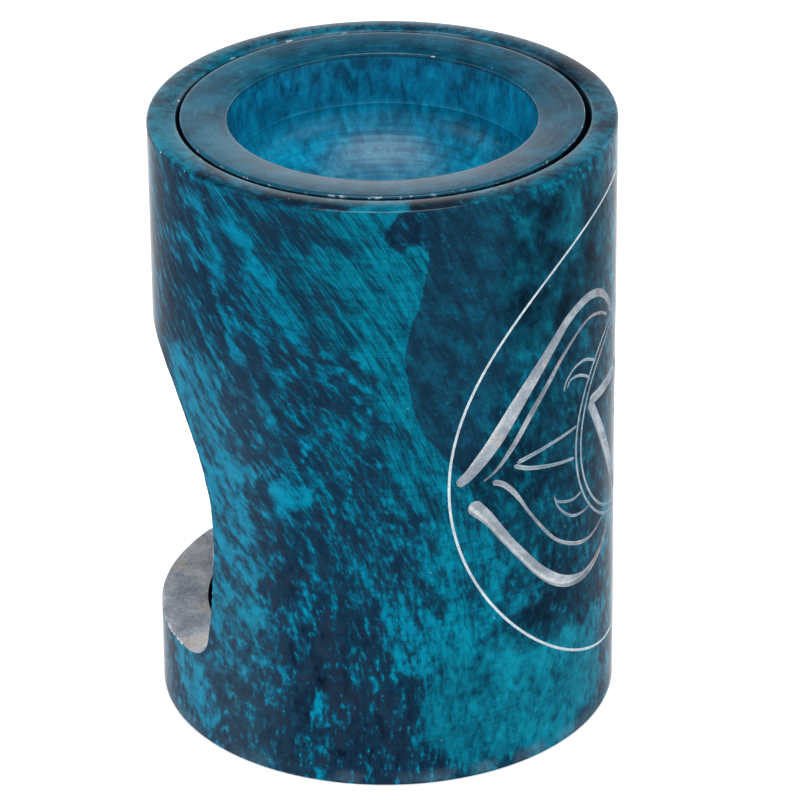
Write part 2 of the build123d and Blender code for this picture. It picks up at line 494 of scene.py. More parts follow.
def dyed_polished_soapstone(name, gloss, roughness):
    """Soapstone, turned, dyed teal and polished with wax. The dye takes on the soft talc and leaves
    the hard veins navy, so teal patches and islands of 1 to 3 mm with soft ragged edges lie in dark
    stone, drawn out along the grain, under a thin gloss that has bloomed where it is handled. The
    bloom is laid on as a pale colour, which also carries a painted sheen low on the wall's left and a
    painted highlight along the pocket's lip."""
    material, shader, add = new_material(name)
    place = in_millimetres(add)
    on_grain = along_grain(add, place)
    patches = grains(add, on_grain, 3.4, 4.8, detail=8.0, roughness=0.72, distortion=0.1)
    islands = grains(add, on_grain, 1.2, 1.7, detail=2.0, roughness=0.5)
    pits = grains(add, on_grain, 0.75, 1.2, detail=2.0, roughness=0.6)
    streaks = grains(add, on_grain, 1.1, 8.5, detail=8.0, roughness=0.76, distortion=0.3)
    hatching = grains(add, on_grain, 0.26, 2.0, detail=3.0, roughness=0.65)
    clouds = grains(add, place, 6.0, 8.0, detail=6.0, roughness=0.58, distortion=0.5)
    scratch = turning_scratches(add, place)
    lay = {field: add("stored", attribute_name=field) for field in DYE_FIELDS}

    # How much dye the stone took, blotched or drawn out in streaks: half and half at 0.5
    blotched = sum_of(
        add,
        add("times_plus", patches, 1.25, -0.125),
        add("times_plus", islands, 0.5, -0.25),
        add("span", islands, 0.6, 0.7, 0.0, 0.12),
        add("span", pits, 0.6, 0.7, 0.0, -0.08),
    )
    drawn_out = sum_of(
        add,
        add("times_plus", streaks, 0.9, 0.05),
        add("times_plus", patches, 0.5, -0.25),
        add("times_plus", hatching, 0.26, -0.13),
    )
    dye = sum_of(
        add,
        add("either", lay["streaked"], blotched, drawn_out),
        lay["teal_lean"],
        add("product", add("times_plus", hatching, 0.2, -0.1), lay["streaked"]),
        add("times_plus", scratch, 0.1, -0.05),
    )
    tint = add("span", grains(add, place, 22.0, detail=1.0), 0.5, 0.66, 0.0, 0.6)
    blue, green = add("ramp", dye, stops=BLUE_TEAL), add("ramp", dye, stops=GREEN_TEAL)
    colour = add("blend", add("larger", tint, lay["green"]), blue, green)

    # Smoke over the dark stone, and clouds where the dye is smooth
    smoke = add("span", grains(add, place, 3.0, 4.4, detail=5.0), 0.42, 0.64, 0.0, 0.45)
    smoke = add("product", smoke, add("span", dye, 0.5, 0.4))
    colour = add("blend", add("product", smoke, lay["smoky"]), colour, SMOKE)
    clouded = sum_of(
        add,
        clouds,
        add("product", lay["teal_lean"], 1.2),
        add("times_plus", islands, 0.3, -0.15),
        add("times_plus", patches, 0.3, -0.15),
    )
    colour = add("blend", lay["cloudy"], colour, add("ramp", clouded, stops=CLOUDED_TEAL))

    # The dark vein, with a ragged edge, and the stone that was bored after it was dyed
    vein = sum_of(
        add,
        add("times_plus", patches, 0.8, 0.1),
        add("times_plus", streaks, 0.35, -0.175),
        add("span", islands, 0.64, 0.72, 0.0, 0.14),
    )
    ragged = add("times_plus", grains(add, place, 0.9, 1.6, detail=3.0), 1.2, -0.6)
    in_vein = add("span", sum_of(add, lay["past_vein_edge"], ragged), -0.12, 0.12)
    in_vein = add("product", in_vein, lay["vein"])
    colour = add("blend", in_vein, colour, add("ramp", vein, stops=DARK_VEIN))
    bore = sum_of(add, add("times_plus", patches, 0.6, 0.2), add("times_plus", islands, 0.5, -0.25))
    colour = add("blend", lay["bored"], colour, add("ramp", bore, stops=BORED_STONE))

    colour = add("darken", 0.5, colour, add("ramp", scratch, stops=SCRATCH_SHADE))
    colour = add("blend", pale_flecks(add, place), colour, BARE_FLECK)
    # Pale bloom in patches, which carries a painted sheen low on the wall's left and a painted highlight
    # along the pocket's lip
    bloom_and_sheen_patches = add("span", grains(add, place, 2.2, detail=5.0), 0.3, 0.66, 0.6, 1.0)
    colour = add("blend", add("product", bloom_and_sheen_patches, lay["bloom_and_sheen"]), colour, BLOOM_AND_SHEEN)
    dulled = add("product", lay["bloom_and_sheen"], 0.25)
    connect(shader, {
        "Base Color": colour,
        "Roughness": sum_of(add, add("times_plus", islands, 0.1, roughness), dulled),
        "Specular IOR Level": gloss,
        "Sheen Weight": 0.01,
        "Sheen Roughness": 0.12,
        "Normal": add("relief", sum_of(add, scratch, hatching), 0.12, 0.05 * MM),
    })
    return material


# Middle of the worn part of the bowl, paler with a painted sheen, in mm to the right of the photograph's
# view, along it and up
WEAR_AND_SHEEN_CENTRE = (-0.3, 8.0, BOWL_FLOOR_Z)

# Colours of the dish, from where it took the least dye to where it took the most
BOWL_WALL_BLUE = [(0.32, "#004a68"), (0.44, "#00698f"), (0.54, "#007ca2"), (0.7, "#0096bc")]
# The hollow's blues are the wall's painted lighter: painted light where the hollow turns up
HOLLOW_BLUE_PAINTED_LIGHTER = [(0.32, "#005b79"), (0.44, "#007598"), (0.54, "#0088ae"), (0.7, "#089fc6")]
# Paler blues of the worn floor, which also carry a painted sheen
WORN_AND_SHEEN_BLUE = [(0.34, "#106587"), (0.45, "#1f7495"), (0.54, "#30809d"), (0.7, "#4a90a8")]
FLANGE_TEAL = [(0.34, "#03354a"), (0.46, "#05445b"), (0.56, "#074f68"), (0.7, "#0c607a")]
# The dish's side: dark dyed stone, darkened further as painted shade for the pocket's gap
DISH_SIDE_AND_GAP_SHADE = [(0.34, "#060f16"), (0.46, "#0a1e2a"), (0.56, "#0d2f3e"), (0.7, "#144a5c")]
RING_SHADE = [(0.36, "#a5bcc6"), (0.5, "#ffffff")]
# The last of these is the pale of the dish's rubbed outer edge, also a painted highlight
FLANGE_SMOKE, BRUSHED_ARC, DISH_FLECK, RUBBED_EDGE_AND_HIGHLIGHT = "#0d2a3c", "#6d93a3", "#9db7c1", "#c4d2d9"


def dyed_turned_soapstone():
    """Soapstone, turned, dyed and rubbed down but not waxed: a half gloss over a fine scratched
    grit. The bowl has soaked up the most dye, deep blue mottled up and down its wall, under a painted
    shadow of the rim at its top; its hollow is painted lighter, and its floor is worn paler under a
    painted sheen, with faint rings from the tool. The flange is darker teal, smoky in places."""
    material, shader, add = new_material("dyed_turned_soapstone")
    place = in_millimetres(add)
    radius = add("length", add("stretched", place, (1, 1, 0)))
    height = add("z_of", place)
    mottle = grains(add, place, 1.9, 3.6, detail=7.0, roughness=0.66, distortion=0.3)
    blotch = grains(add, place, 6.0, detail=5.0, roughness=0.6)
    grain = grains(add, place, 0.6, 1.0, detail=4.0, roughness=0.7)
    in_view = add("turned", place, -CAMERA_AZIMUTH)
    to_right = add("x_of", in_view)
    rings = add("noise_along", sum_of(add, radius, height), 1 / 0.8, 2.0)
    brushed = add("noise_along", radius, 1 / 0.3, 3.0)
    on_hollow = add("span", height, BOWL_STEP_Z + 0.5, BOWL_STEP_Z - 0.5)
    on_flange = add("span", height, DISH_TOP_Z - 1.5, DISH_TOP_Z - 1.0)

    # The bowl: its wall, with a painted shadow of the rim at its top, its hollow, painted lighter than
    # the wall and darker to the right, and the worn patch in it, paler with a painted sheen
    dye = sum_of(
        add,
        mottle,
        add("times_plus", blotch, 0.6, -0.3),
        add("times_plus", grain, 0.2, -0.1),
        # Darker towards the bowl's top: a painted shadow of the rim
        add("span", height, BODY_HEIGHT - 1.0, BOWL_STEP_Z, -0.07, 0.02),
    )
    hollow_dye = sum_of(add, dye, add("span", to_right, -8.0, 16.0, 0.02, -0.09))
    # The hollow takes the lighter blues: painted light
    hollow = add("ramp", hollow_dye, stops=HOLLOW_BLUE_PAINTED_LIGHTER)
    bowl = add("blend", on_hollow, add("ramp", dye, stops=BOWL_WALL_BLUE), hollow)
    aside = add("stretched", add("offset_from", in_view, WEAR_AND_SHEEN_CENTRE), (1.6, 1, 1))
    near_middle = sum_of(
        add,
        add("length", aside),
        add("times_plus", blotch, 8.0, -4.0),
        add("times_plus", mottle, 5.0, -2.5),
    )
    # Paler in the middle of the floor: wear and a painted sheen
    worn = add("span", near_middle, 20.5, 14.0, 0.0, 0.9)
    bowl = add("blend", worn, bowl, add("ramp", dye, stops=WORN_AND_SHEEN_BLUE))
    bowl = add("darken", add("product", on_hollow, 0.4), bowl, add("ramp", rings, stops=RING_SHADE))

    # The flange: greener to the left, smoky in places, with pale arcs where it was brushed
    flange_dye = sum_of(
        add,
        blotch,
        add("times_plus", grain, 0.25, -0.125),
        add("times_plus", mottle, 0.4, -0.2),
        add("span", to_right, -8.0, -26.0, 0.0, 0.12),
    )
    smoky = grains(add, place, 4.0, detail=6.0, distortion=0.4)
    smoky = add("span", smoky, 0.5, 0.7, 0.0, 0.3)
    flange = add("blend", smoky, add("ramp", flange_dye, stops=FLANGE_TEAL), FLANGE_SMOKE)
    some = add("span", grains(add, place, 2.4, detail=3.0), 0.5, 0.62, 0.0, 0.22)
    arcs = add("product", add("span", brushed, 0.56, 0.66), some)
    flange = add("blend", arcs, flange, BRUSHED_ARC)

    # The outer edge, rubbed pale in places with a painted highlight, and the side that stands in the
    # pocket, dark dyed stone darkened further as painted shade in the gap
    colour = add("blend", on_flange, bowl, flange)
    colour = add("blend", pale_flecks(add, place), colour, DISH_FLECK)
    # Pale in places along the outer edge: rubbed stone and a painted highlight
    rubbed = grains(add, place, 1.4, detail=4.0, roughness=0.75)
    rubbed = add("span", rubbed, 0.56, 0.64, 0.0, 0.6)
    edge = add("product", add("span", radius, DISH_RADIUS - 0.24, DISH_RADIUS - 0.16), rubbed)
    colour = add("blend", edge, colour, RUBBED_EDGE_AND_HIGHLIGHT)
    # The side below the edge turns near black: dark dyed stone and painted shade in the gap
    below_edge = add("span", height, DISH_TOP_Z - 0.28, DISH_TOP_Z - 0.45)
    outside = add("span", radius, DISH_RADIUS - 0.4, DISH_RADIUS - 0.2)
    side_and_gap_shade = add("product", below_edge, outside)
    colour = add("blend", side_and_gap_shade, colour, add("ramp", dye, stops=DISH_SIDE_AND_GAP_SHADE))
    smoother = add("product", on_flange, -0.16)
    connect(shader, {
        "Base Color": colour,
        "Roughness": sum_of(add, add("times_plus", grain, 0.12, 0.28), smoother),
        "Specular IOR Level": 0.28,
        "Normal": add("relief", sum_of(add, grain, rings, brushed), 0.2, 0.05 * MM),
    })
    return material


def raw_soapstone(name, greys, stain, stained, grit_mm, bruise_and_highlight=0.0):
    """Undyed soapstone where a saw or a graver has opened it: chalky talc grey, with beige stains
    as strong as `stained`, and a broken grit of `grit_mm` that takes no polish. Along the foot of a
    groove it is paler, where the graver bruised it and where a highlight is painted, by the last
    argument."""
    material, shader, add = new_material(name)
    place = in_millimetres(add)
    patches = grains(add, place, 5.0, detail=6.0, roughness=0.62, distortion=0.5)
    colour = add("ramp", patches, stops=list(zip((0.36, 0.5, 0.64), greys)))
    stains = grains(add, place, 8.0, detail=3.0, distortion=0.4)
    colour = add("blend", add("span", stains, 0.56, 0.62, 0.0, stained), colour, stain)
    if bruise_and_highlight:
        # Paler along the groove's foot: bruised stone and a painted highlight
        depth = add("stored", attribute_name="cut_depth")
        colour = add("blend", add("span", depth, 0.45, 0.75, 0.0, bruise_and_highlight), colour, "#e8ecee")
    grit = grains(add, place, grit_mm, detail=4.0, roughness=0.7)
    grit_shade = add("ramp", grit, stops=[(0.3, "#bcbcbc"), (0.62, "#ffffff")])
    connect(shader, {
        "Base Color": add("darken", 0.8, colour, grit_shade),
        "Roughness": 0.85,
        "Specular IOR Level": 0.2,
        "Normal": add("relief", grit, 0.5, 0.1 * MM),
    })
    return material


def pressed_aluminium():
    """Aluminium foil pressed into a cup: bright, with fine drawing lines up the wall."""
    material, shader, add = new_material("pressed_aluminium_foil")
    lines = grains(add, in_millimetres(add), 0.5, 9.0, detail=3.0, roughness=0.7)
    connect(shader, {
        "Base Color": add("ramp", lines, stops=[(0.3, "#b9bbbe"), (0.7, "#dfe0e2")]),
        "Metallic": 1.0,
        "Roughness": add("times_plus", lines, 0.2, 0.2),
        "Normal": add("relief", lines, 0.15, 0.05 * MM),
    })
    return material


def cast_paraffin():
    """Paraffin wax, cast: milky white, light goes a little way in, with a faint crystalline bloom."""
    material, shader, add = new_material("cast_paraffin_wax")
    bloom = grains(add, in_millimetres(add), 2.4, detail=5.0, roughness=0.6)
    connect(shader, {
        "Base Color": add("ramp", bloom, stops=[(0.35, "#e6e2d6"), (0.65, "#f4f2ea")]),
        "Subsurface Weight": 0.35,
        "Subsurface Radius": (1.0, 0.85, 0.65),
        "Subsurface Scale": 1.6 * MM,
        "Roughness": add("times_plus", bloom, 0.2, 0.3),
        "Normal": add("relief", bloom, 0.2, 0.1 * MM),
    })
    return material


def braided_cotton():
    """Bleached cotton yarn, braided and waxed: matt, with fibres along each strand."""
    material, shader, add = new_material("braided_waxed_cotton")
    fibres = grains(add, in_millimetres(add), 0.09, 0.5, detail=3.0, roughness=0.7)
    connect(shader, {
        "Base Color": add("ramp", fibres, stops=[(0.3, "#c9c1ad"), (0.65, "#efeadc")]),
        "Roughness": 0.7,
        "Sheen Weight": 0.2,
        "Normal": add("relief", fibres, 0.5, 0.04 * MM),
    })
    return material


def tinned_steel():
    """Steel strip, tinned and stamped: grey metal with a soft, slightly blotched shine."""
    material, shader, add = new_material("stamped_tinned_steel")
    blotch = grains(add, in_millimetres(add), 1.3, detail=4.0)
    connect(shader, {
        "Base Color": add("ramp", blotch, stops=[(0.35, "#8d8e90"), (0.65, "#b4b5b6")]),
        "Metallic": 1.0,
        "Roughness": add("times_plus", blotch, 0.25, 0.25),
    })
    return material


# Camera, floor and light

# Soft boxes: azimuth and elevation in degrees, distance and size in metres, power in watts
SOFT_BOXES = {
    "top_box": (-78, 80, 1.1, 0.7, 11.0),
    "left_box": (-150, 14, 1.2, 0.8, 3.0),
    "right_box": (-20, 14, 1.2, 0.8, 3.0),
}


def outwards(azimuth, elevation):
    """Unit vector from the burner towards an azimuth, counted from the front, and elevation."""
    level = cos(elevation)
    return Vector((sin(azimuth) * level, -cos(azimuth) * level, sin(elevation)))


def place_camera():
    """A camera at the photograph's viewing angle: it looks at a point on the burner's axis."""
    back = outwards(CAMERA_AZIMUTH, CAMERA_ELEVATION)
    right = Vector((cos(CAMERA_AZIMUTH), sin(CAMERA_AZIMUTH), 0))
    up = back.cross(right)
    rolled_right = cos(CAMERA_ROLL) * right + sin(CAMERA_ROLL) * up
    rolled_up = cos(CAMERA_ROLL) * up - sin(CAMERA_ROLL) * right
    place = Vector((0, 0, CAMERA_TARGET_Z * MM)) + back * CAMERA_DISTANCE * MM
    data = bpy.data.cameras.new("camera")
    data.lens = CAMERA_LENS
    data.sensor_width = 36.0
    data.shift_x, data.shift_y = CAMERA_SHIFT
    camera = bpy.data.objects.new("camera", data)
    turn = Matrix((rolled_right, rolled_up, back)).transposed().to_4x4()
    camera.matrix_world = Matrix.Translation(place) @ turn
    bpy.context.scene.collection.objects.link(camera)
    bpy.context.scene.camera = camera


def soft_box(name, azimuth, elevation, distance, size, power):
    """A square area light that faces the burner from the given side."""
    back = outwards(radians(azimuth), radians(elevation))
    data = bpy.data.lights.new(name, "AREA")
    data.shape = "SQUARE"
    data.size = size
    data.energy = power
    light = bpy.data.objects.new(name, data)
    light.location = Vector((0, 0, 0.05)) + back * distance
    light.rotation_euler = back.to_track_quat("Z", "Y").to_euler()
    bpy.context.scene.collection.objects.link(light)


def studio():
    """A pale floor and a pale surround that darkens overhead, so that level faces keep their
    colour, with soft boxes above and to the sides."""
    world = bpy.data.worlds.new("surround")
    world.use_nodes = True
    add = partial(add_node, world.node_tree)
    brightness = add("span", add("z_of", add("direction")), 0.2, 0.6, 1.3, 0.0)
    connect(world.node_tree.nodes["Background"], {0: "#f8fafc", 1: brightness})
    bpy.context.scene.world = world
    bpy.context.scene.view_settings.view_transform = "Standard"

    half = 3.0
    mesh = bpy.data.meshes.new("floor")
    corners = [(-half, -half, 0), (half, -half, 0), (half, half, 0), (-half, half, 0)]
    mesh.from_pydata(corners, [], [(0, 1, 2, 3)])
    material, shader, _ = new_material("matt_white_paper")
    connect(shader, {
        "Base Color": "#f7f7f7",
        "Roughness": 0.9,
        "Specular IOR Level": 0.0,
        "Emission Color": "#ffffff",
        "Emission Strength": 0.6,
    })
    floor = new_object("floor", mesh, [material])

    for name, (azimuth, elevation, distance, size, power) in SOFT_BOXES.items():
        soft_box(name, azimuth, elevation, distance, size, power)


# Body

def body_outline():
    """Half section of the body, from the middle of its foot round to the middle of the well. The
    rim is crowned: it falls by RIM_CROWN times u^2, u running from -1 to 1 across it."""
    outline = rounded_outline([
        (0, 0, 0, 6.0),
        (BODY_RADIUS, 0, FOOT_ROUND, 1.2),
        (BODY_RADIUS, BODY_HEIGHT, RIM_ROUND, 0.5),
        (POCKET_RADIUS, BODY_HEIGHT, POCKET_LIP_ROUND, 1.5),
        (POCKET_RADIUS, LEDGE_Z, LEDGE_CORNER, 1.5),
        (CHAMBER_RADIUS, LEDGE_Z, LEDGE_EDGE_ROUND, 2.2),
        (CHAMBER_RADIUS, WELL_FLOOR_Z, WELL_CORNER, 4.0),
        (0, WELL_FLOOR_Z, 0, 1.0),
    ])
    u = (outline[:, 0] - (BODY_RADIUS + POCKET_RADIUS) / 2) / (BODY_RADIUS - POCKET_RADIUS) * 2
    on_rim = (np.abs(u) < 1.01) & (outline[:, 1] > BODY_HEIGHT - 1.0)
    outline[:, 1] -= RIM_CROWN * u**2 * on_rim
    return outline


def turned_body():
    """The body before it is sawn. The wall's error fades from the wall to the pocket, and the pocket
    is bored a little off centre."""
    points, faces = turned(body_outline(), 360)
    radius = np.hypot(points[:, 0], points[:, 1])
    out = points[:, :2] / np.maximum(radius, 1e-6)[:, None]
    share = soft_step(radius, POCKET_RADIUS + 0.5, BODY_RADIUS - 0.5) * soft_step(points[:, 2], 0, 3.0)
    points[:, :2] += out * (wall_error(points) * share)[:, None]
    in_pocket = (radius > CHAMBER_RADIUS + 0.6) & (radius < POCKET_RADIUS + 0.6)
    in_pocket &= points[:, 2] > LEDGE_Z - 0.2
    photo_right = np.array([cos(CAMERA_AZIMUTH), sin(CAMERA_AZIMUTH)])
    points[in_pocket, :2] += POCKET_OFFSET * photo_right
    mesh = new_mesh("turned_body", points, faces)
    centre = np.empty(len(mesh.polygons) * 3)
    mesh.polygons.foreach_get("center", centre)
    centre = centre.reshape(-1, 3) / MM
    on_top = centre[:, 2] > BODY_HEIGHT - 0.55
    on_top &= np.hypot(centre[:, 0], centre[:, 1]) < BODY_RADIUS - 0.25
    mesh.polygons.foreach_set("material_index", (RIM * on_top).astype(np.int32))
    return mesh


def mouth_outline(step):
    """Section of the saw cut in Y and Z: in along the sill, round the heel, up the jamb to the
    throat, and out on a wide arc. Also each point's unit normal, which points into the gap."""
    cut_end_y = BODY_RADIUS + CUT_OVERRUN
    jamb_drop = THROAT_Z - SILL_Z
    jamb_radius = (HEEL_SETBACK**2 + jamb_drop**2) / (2 * HEEL_SETBACK)
    jamb_centre = np.array([THROAT_Y + jamb_radius, THROAT_Z])
    heel_z = SILL_Z + SILL_CORNER
    reach = sqrt((jamb_radius - SILL_CORNER) ** 2 - (THROAT_Z - heel_z) ** 2)
    heel = np.array([jamb_centre[0] - reach, heel_z])
    meet = atan2(*(heel - jamb_centre)[::-1]) % (2 * pi)
    roof = np.array([THROAT_Y + MOUTH_ARC_RADIUS, THROAT_Z])
    roof_end = np.arccos((cut_end_y - roof[0]) / MOUTH_ARC_RADIUS)
    pieces = [
        run((cut_end_y, SILL_Z), (heel[0], SILL_Z), step),
        arc(heel, SILL_CORNER, 1.5 * pi, meet, step),
        arc(jamb_centre, jamb_radius, meet, pi, step)[1:],
        arc(roof, MOUTH_ARC_RADIUS, pi, roof_end, step)[1:],
    ]
    path = np.concatenate(pieces)
    along = np.gradient(path, axis=0)
    along /= np.linalg.norm(along, axis=1, keepdims=True)
    return path, np.stack([along[:, 1], -along[:, 0]], axis=1)


def mouth_cutter():
    """The slab of stone that the saw takes out: the mouth's section carried across the body along
    X. Its surface stands off the section by shallow ridges in line with the blade, and by a fine
    unevenness."""
    step = 0.8
    path, normal = mouth_outline(step)
    across = np.linspace(-BODY_RADIUS - 2, BODY_RADIUS + 2, 92)
    x = across[:, None] * np.ones(len(path))
    y, z = np.broadcast_to(path[:, 0], x.shape), np.broadcast_to(path[:, 1], x.shape)
    reach = np.arange(len(path)) * step + 0.5 * ripples(np.stack([x, x * 0], -1), 40.0, seed=5)
    strength = 0.6 + 0.4 * ripples(np.stack([x, reach], -1), 25.0, seed=6)
    ridges = SAW_MARK_DEPTH * np.sin(2 * pi * reach / SAW_MARK_PITCH) * strength
    place = np.stack([x, y, z], -1)
    uneven = 0.14 * ripples(place, 16.0, seed=7) + 0.05 * ripples(place, 3.0, seed=8)
    off = ridges + uneven
    surface = np.stack([x, y + off * normal[:, 0], z + off * normal[:, 1]], axis=-1)
    end_y, end_z = path[-1] + [1, 0]
    corner = np.stack([across, np.full_like(across, end_y), np.full_like(across, end_z)], -1)
    foot = corner * [1, 1, 0] + [0, 0, SILL_Z]
    rings = np.concatenate([surface, corner[:, None], foot[:, None]], axis=1)
    return new_mesh("mouth_cutter", *tube(rings), finish=SAWN)


def mouth_edge_cutter():
    """A thin bead run round the mouth's outer edge, which breaks the sharp corner: its inner side
    is the arc that a rounding of radius `wear` would leave between the wall and the cut."""
    path, normal = mouth_outline(0.05)
    inside = path[:, 0] < BODY_RADIUS
    path, normal = path[inside], normal[inside]
    x = np.sqrt(BODY_RADIUS**2 - path[:, 0] ** 2)
    edge = np.stack([x, path[:, 0], path[:, 1], normal[:, 0], normal[:, 1]], axis=1)
    other = edge[::-1] * [-1, 1, 1, 1, 1]
    loop = even_spacing(np.concatenate([edge, other]), 0.45)
    place = loop[:, :3]
    wall_normal = place * [1, 1, 0] / BODY_RADIUS
    cut_normal = np.stack([np.zeros(len(loop)), loop[:, 3], loop[:, 4]], axis=1)
    cut_normal /= np.linalg.norm(cut_normal, axis=1, keepdims=True)
    middle, side = wall_normal + cut_normal, wall_normal - cut_normal
    middle /= np.linalg.norm(middle, axis=1, keepdims=True)
    side /= np.linalg.norm(side, axis=1, keepdims=True)
    half = np.arccos(np.clip((wall_normal * cut_normal).sum(1), -1, 1)) / 2
    on_sill = soft_step(-place[:, 2], -SILL_Z - 4.0, -SILL_Z - 0.5)
    wear = 0.22 + 0.1 * ripples(place, 5.0, seed=11)
    wear = wear + on_sill * 0.08 * (1 + ripples(place, 2.6, seed=12))
    angle = np.arctan2(place[:, 0], -place[:, 1])
    for chip_angle, chip_reach, chip_depth in MOUTH_CHIPS:
        turn = np.angle(np.exp(1j * (angle - radians(chip_angle))))
        away = BODY_RADIUS * np.abs(turn) / chip_reach
        wear += on_sill * chip_depth * np.exp(-(away**4)) * (1 + 0.3 * ripples(place, 2.0, seed=13))
    wear = np.clip(wear, 0.08, None)
    turn = np.linspace(-1, 1, 7)[None] * half[:, None]
    sideways = wear[:, None] * np.sin(turn)
    inward = wear[:, None] * (np.cos(turn) - 1 / np.cos(half[:, None]))
    reach = wear * np.tan(half) + 0.25
    end_side = (reach * np.cos(half) + 0.3 * np.sin(half))[:, None]
    end_in = (-reach * np.sin(half) + 0.3 * np.cos(half))[:, None]
    top = np.full_like(end_side, 1.2)
    sideways = np.concatenate([-end_side, sideways, end_side, end_side, -end_side], axis=1)
    inward = np.concatenate([end_in, inward, end_in, top, top], axis=1)
    rings = place[:, None] + sideways[..., None] * side[:, None] + inward[..., None] * middle[:, None]
    return new_mesh("mouth_edge_cutter", *tube(rings, closed=True), finish=SAWN)


# Chips along the sill's outer edge: angle in degrees, half length and depth in mm
MOUTH_CHIPS = [(-150, 1.6, 0.5), (-146, 1.4, 0.35), (150, 1.6, 0.5), (136, 1.3, 0.4)]
# Crumbs at the sill's outer corners, and chips of the rim's outer edge: angles in degrees
SILL_CRUMBS = (-156.0, -151.5, -148.0, -145.0, -142.5, 141.0, 147.0, 153.0)
RIM_CHIPS = (-146.0, -133.0, -158.0, -30.0, 40.0, 95.0, 170.0)
POCKET_CHIPS = 16


def chip_cutter(name, angle, radius, height, size, seed, finish):
    """A small lump that breaks a turned edge: an ellipsoid of half `size`, round the edge, across
    it and up, whose radius is roughened by a random field, centred on the edge."""
    rows, columns = 9, 12
    up = np.linspace(0, pi, rows)[1:-1, None]
    round_ = np.linspace(0, 2 * pi, columns, endpoint=False)
    level = np.sin(up)
    shell = np.broadcast_arrays(level * np.cos(round_), level * np.sin(round_), np.cos(up))
    shell = np.concatenate([np.stack(shell, -1).reshape(-1, 3), [[0, 0, 1], [0, 0, -1]]])
    shell *= 1 + 0.25 * ripples(shell, 0.9, seed)[:, None]
    length, depth, drop = size
    out = np.array([sin(angle), -cos(angle), 0])
    round_way = np.array([cos(angle), sin(angle), 0])
    points = shell[:, :1] * length * round_way + shell[:, 1:2] * depth * out
    points = points + shell[:, 2:] * drop * np.array([0, 0, 1]) + (radius * out + [0, 0, height])
    ring = np.arange(columns)
    ahead = (ring + 1) % columns
    top, bottom = len(points) - 2, len(points) - 1
    last = (rows - 3) * columns
    faces = grid_quads(rows - 2, columns, close_columns=True).tolist()
    faces += np.stack([ahead, ring, np.full(columns, top)], axis=1).tolist()
    faces += np.stack([last + ring, last + ahead, np.full(columns, bottom)], axis=1).tolist()
    return new_mesh(name, points, faces, finish)


def sill_chips():
    """Bruised crumbs broken from the sill's outer corners."""
    cutters = []
    for number, angle in enumerate(map(radians, SILL_CRUMBS)):
        size = (0.5 + 0.25 * (number % 3), 0.35, 0.4)
        seed = 110 + number
        cutters.append(chip_cutter("sill_chip", angle, BODY_RADIUS, SILL_Z, size, seed, SCRATCHED))
    return cutters


def rim_chips():
    """Small chips knocked out of the rim: along its outer edge, and finer ones where the dish has
    rubbed the edge of the pocket."""
    random = np.random.default_rng(21)
    edge_z = BODY_HEIGHT - RIM_CROWN
    cutters = []
    for number, angle in enumerate(map(radians, RIM_CHIPS)):
        size = (random.uniform(0.3, 0.6), random.uniform(0.2, 0.32), random.uniform(0.2, 0.32))
        seed = 30 + number
        cutters.append(chip_cutter("rim_chip", angle, BODY_RADIUS, edge_z, size, seed, SCRATCHED))
    for number in range(POCKET_CHIPS):
        angle = radians(-170 + 360 * (number + random.uniform(0.1, 0.9)) / POCKET_CHIPS)
        size = (random.uniform(0.3, 0.8), random.uniform(0.08, 0.16), random.uniform(0.12, 0.22))
        seed = 50 + number
        cutters.append(chip_cutter("pocket_chip", angle, POCKET_RADIUS, edge_z, size, seed, SCRATCHED))
    return cutters


# Figure

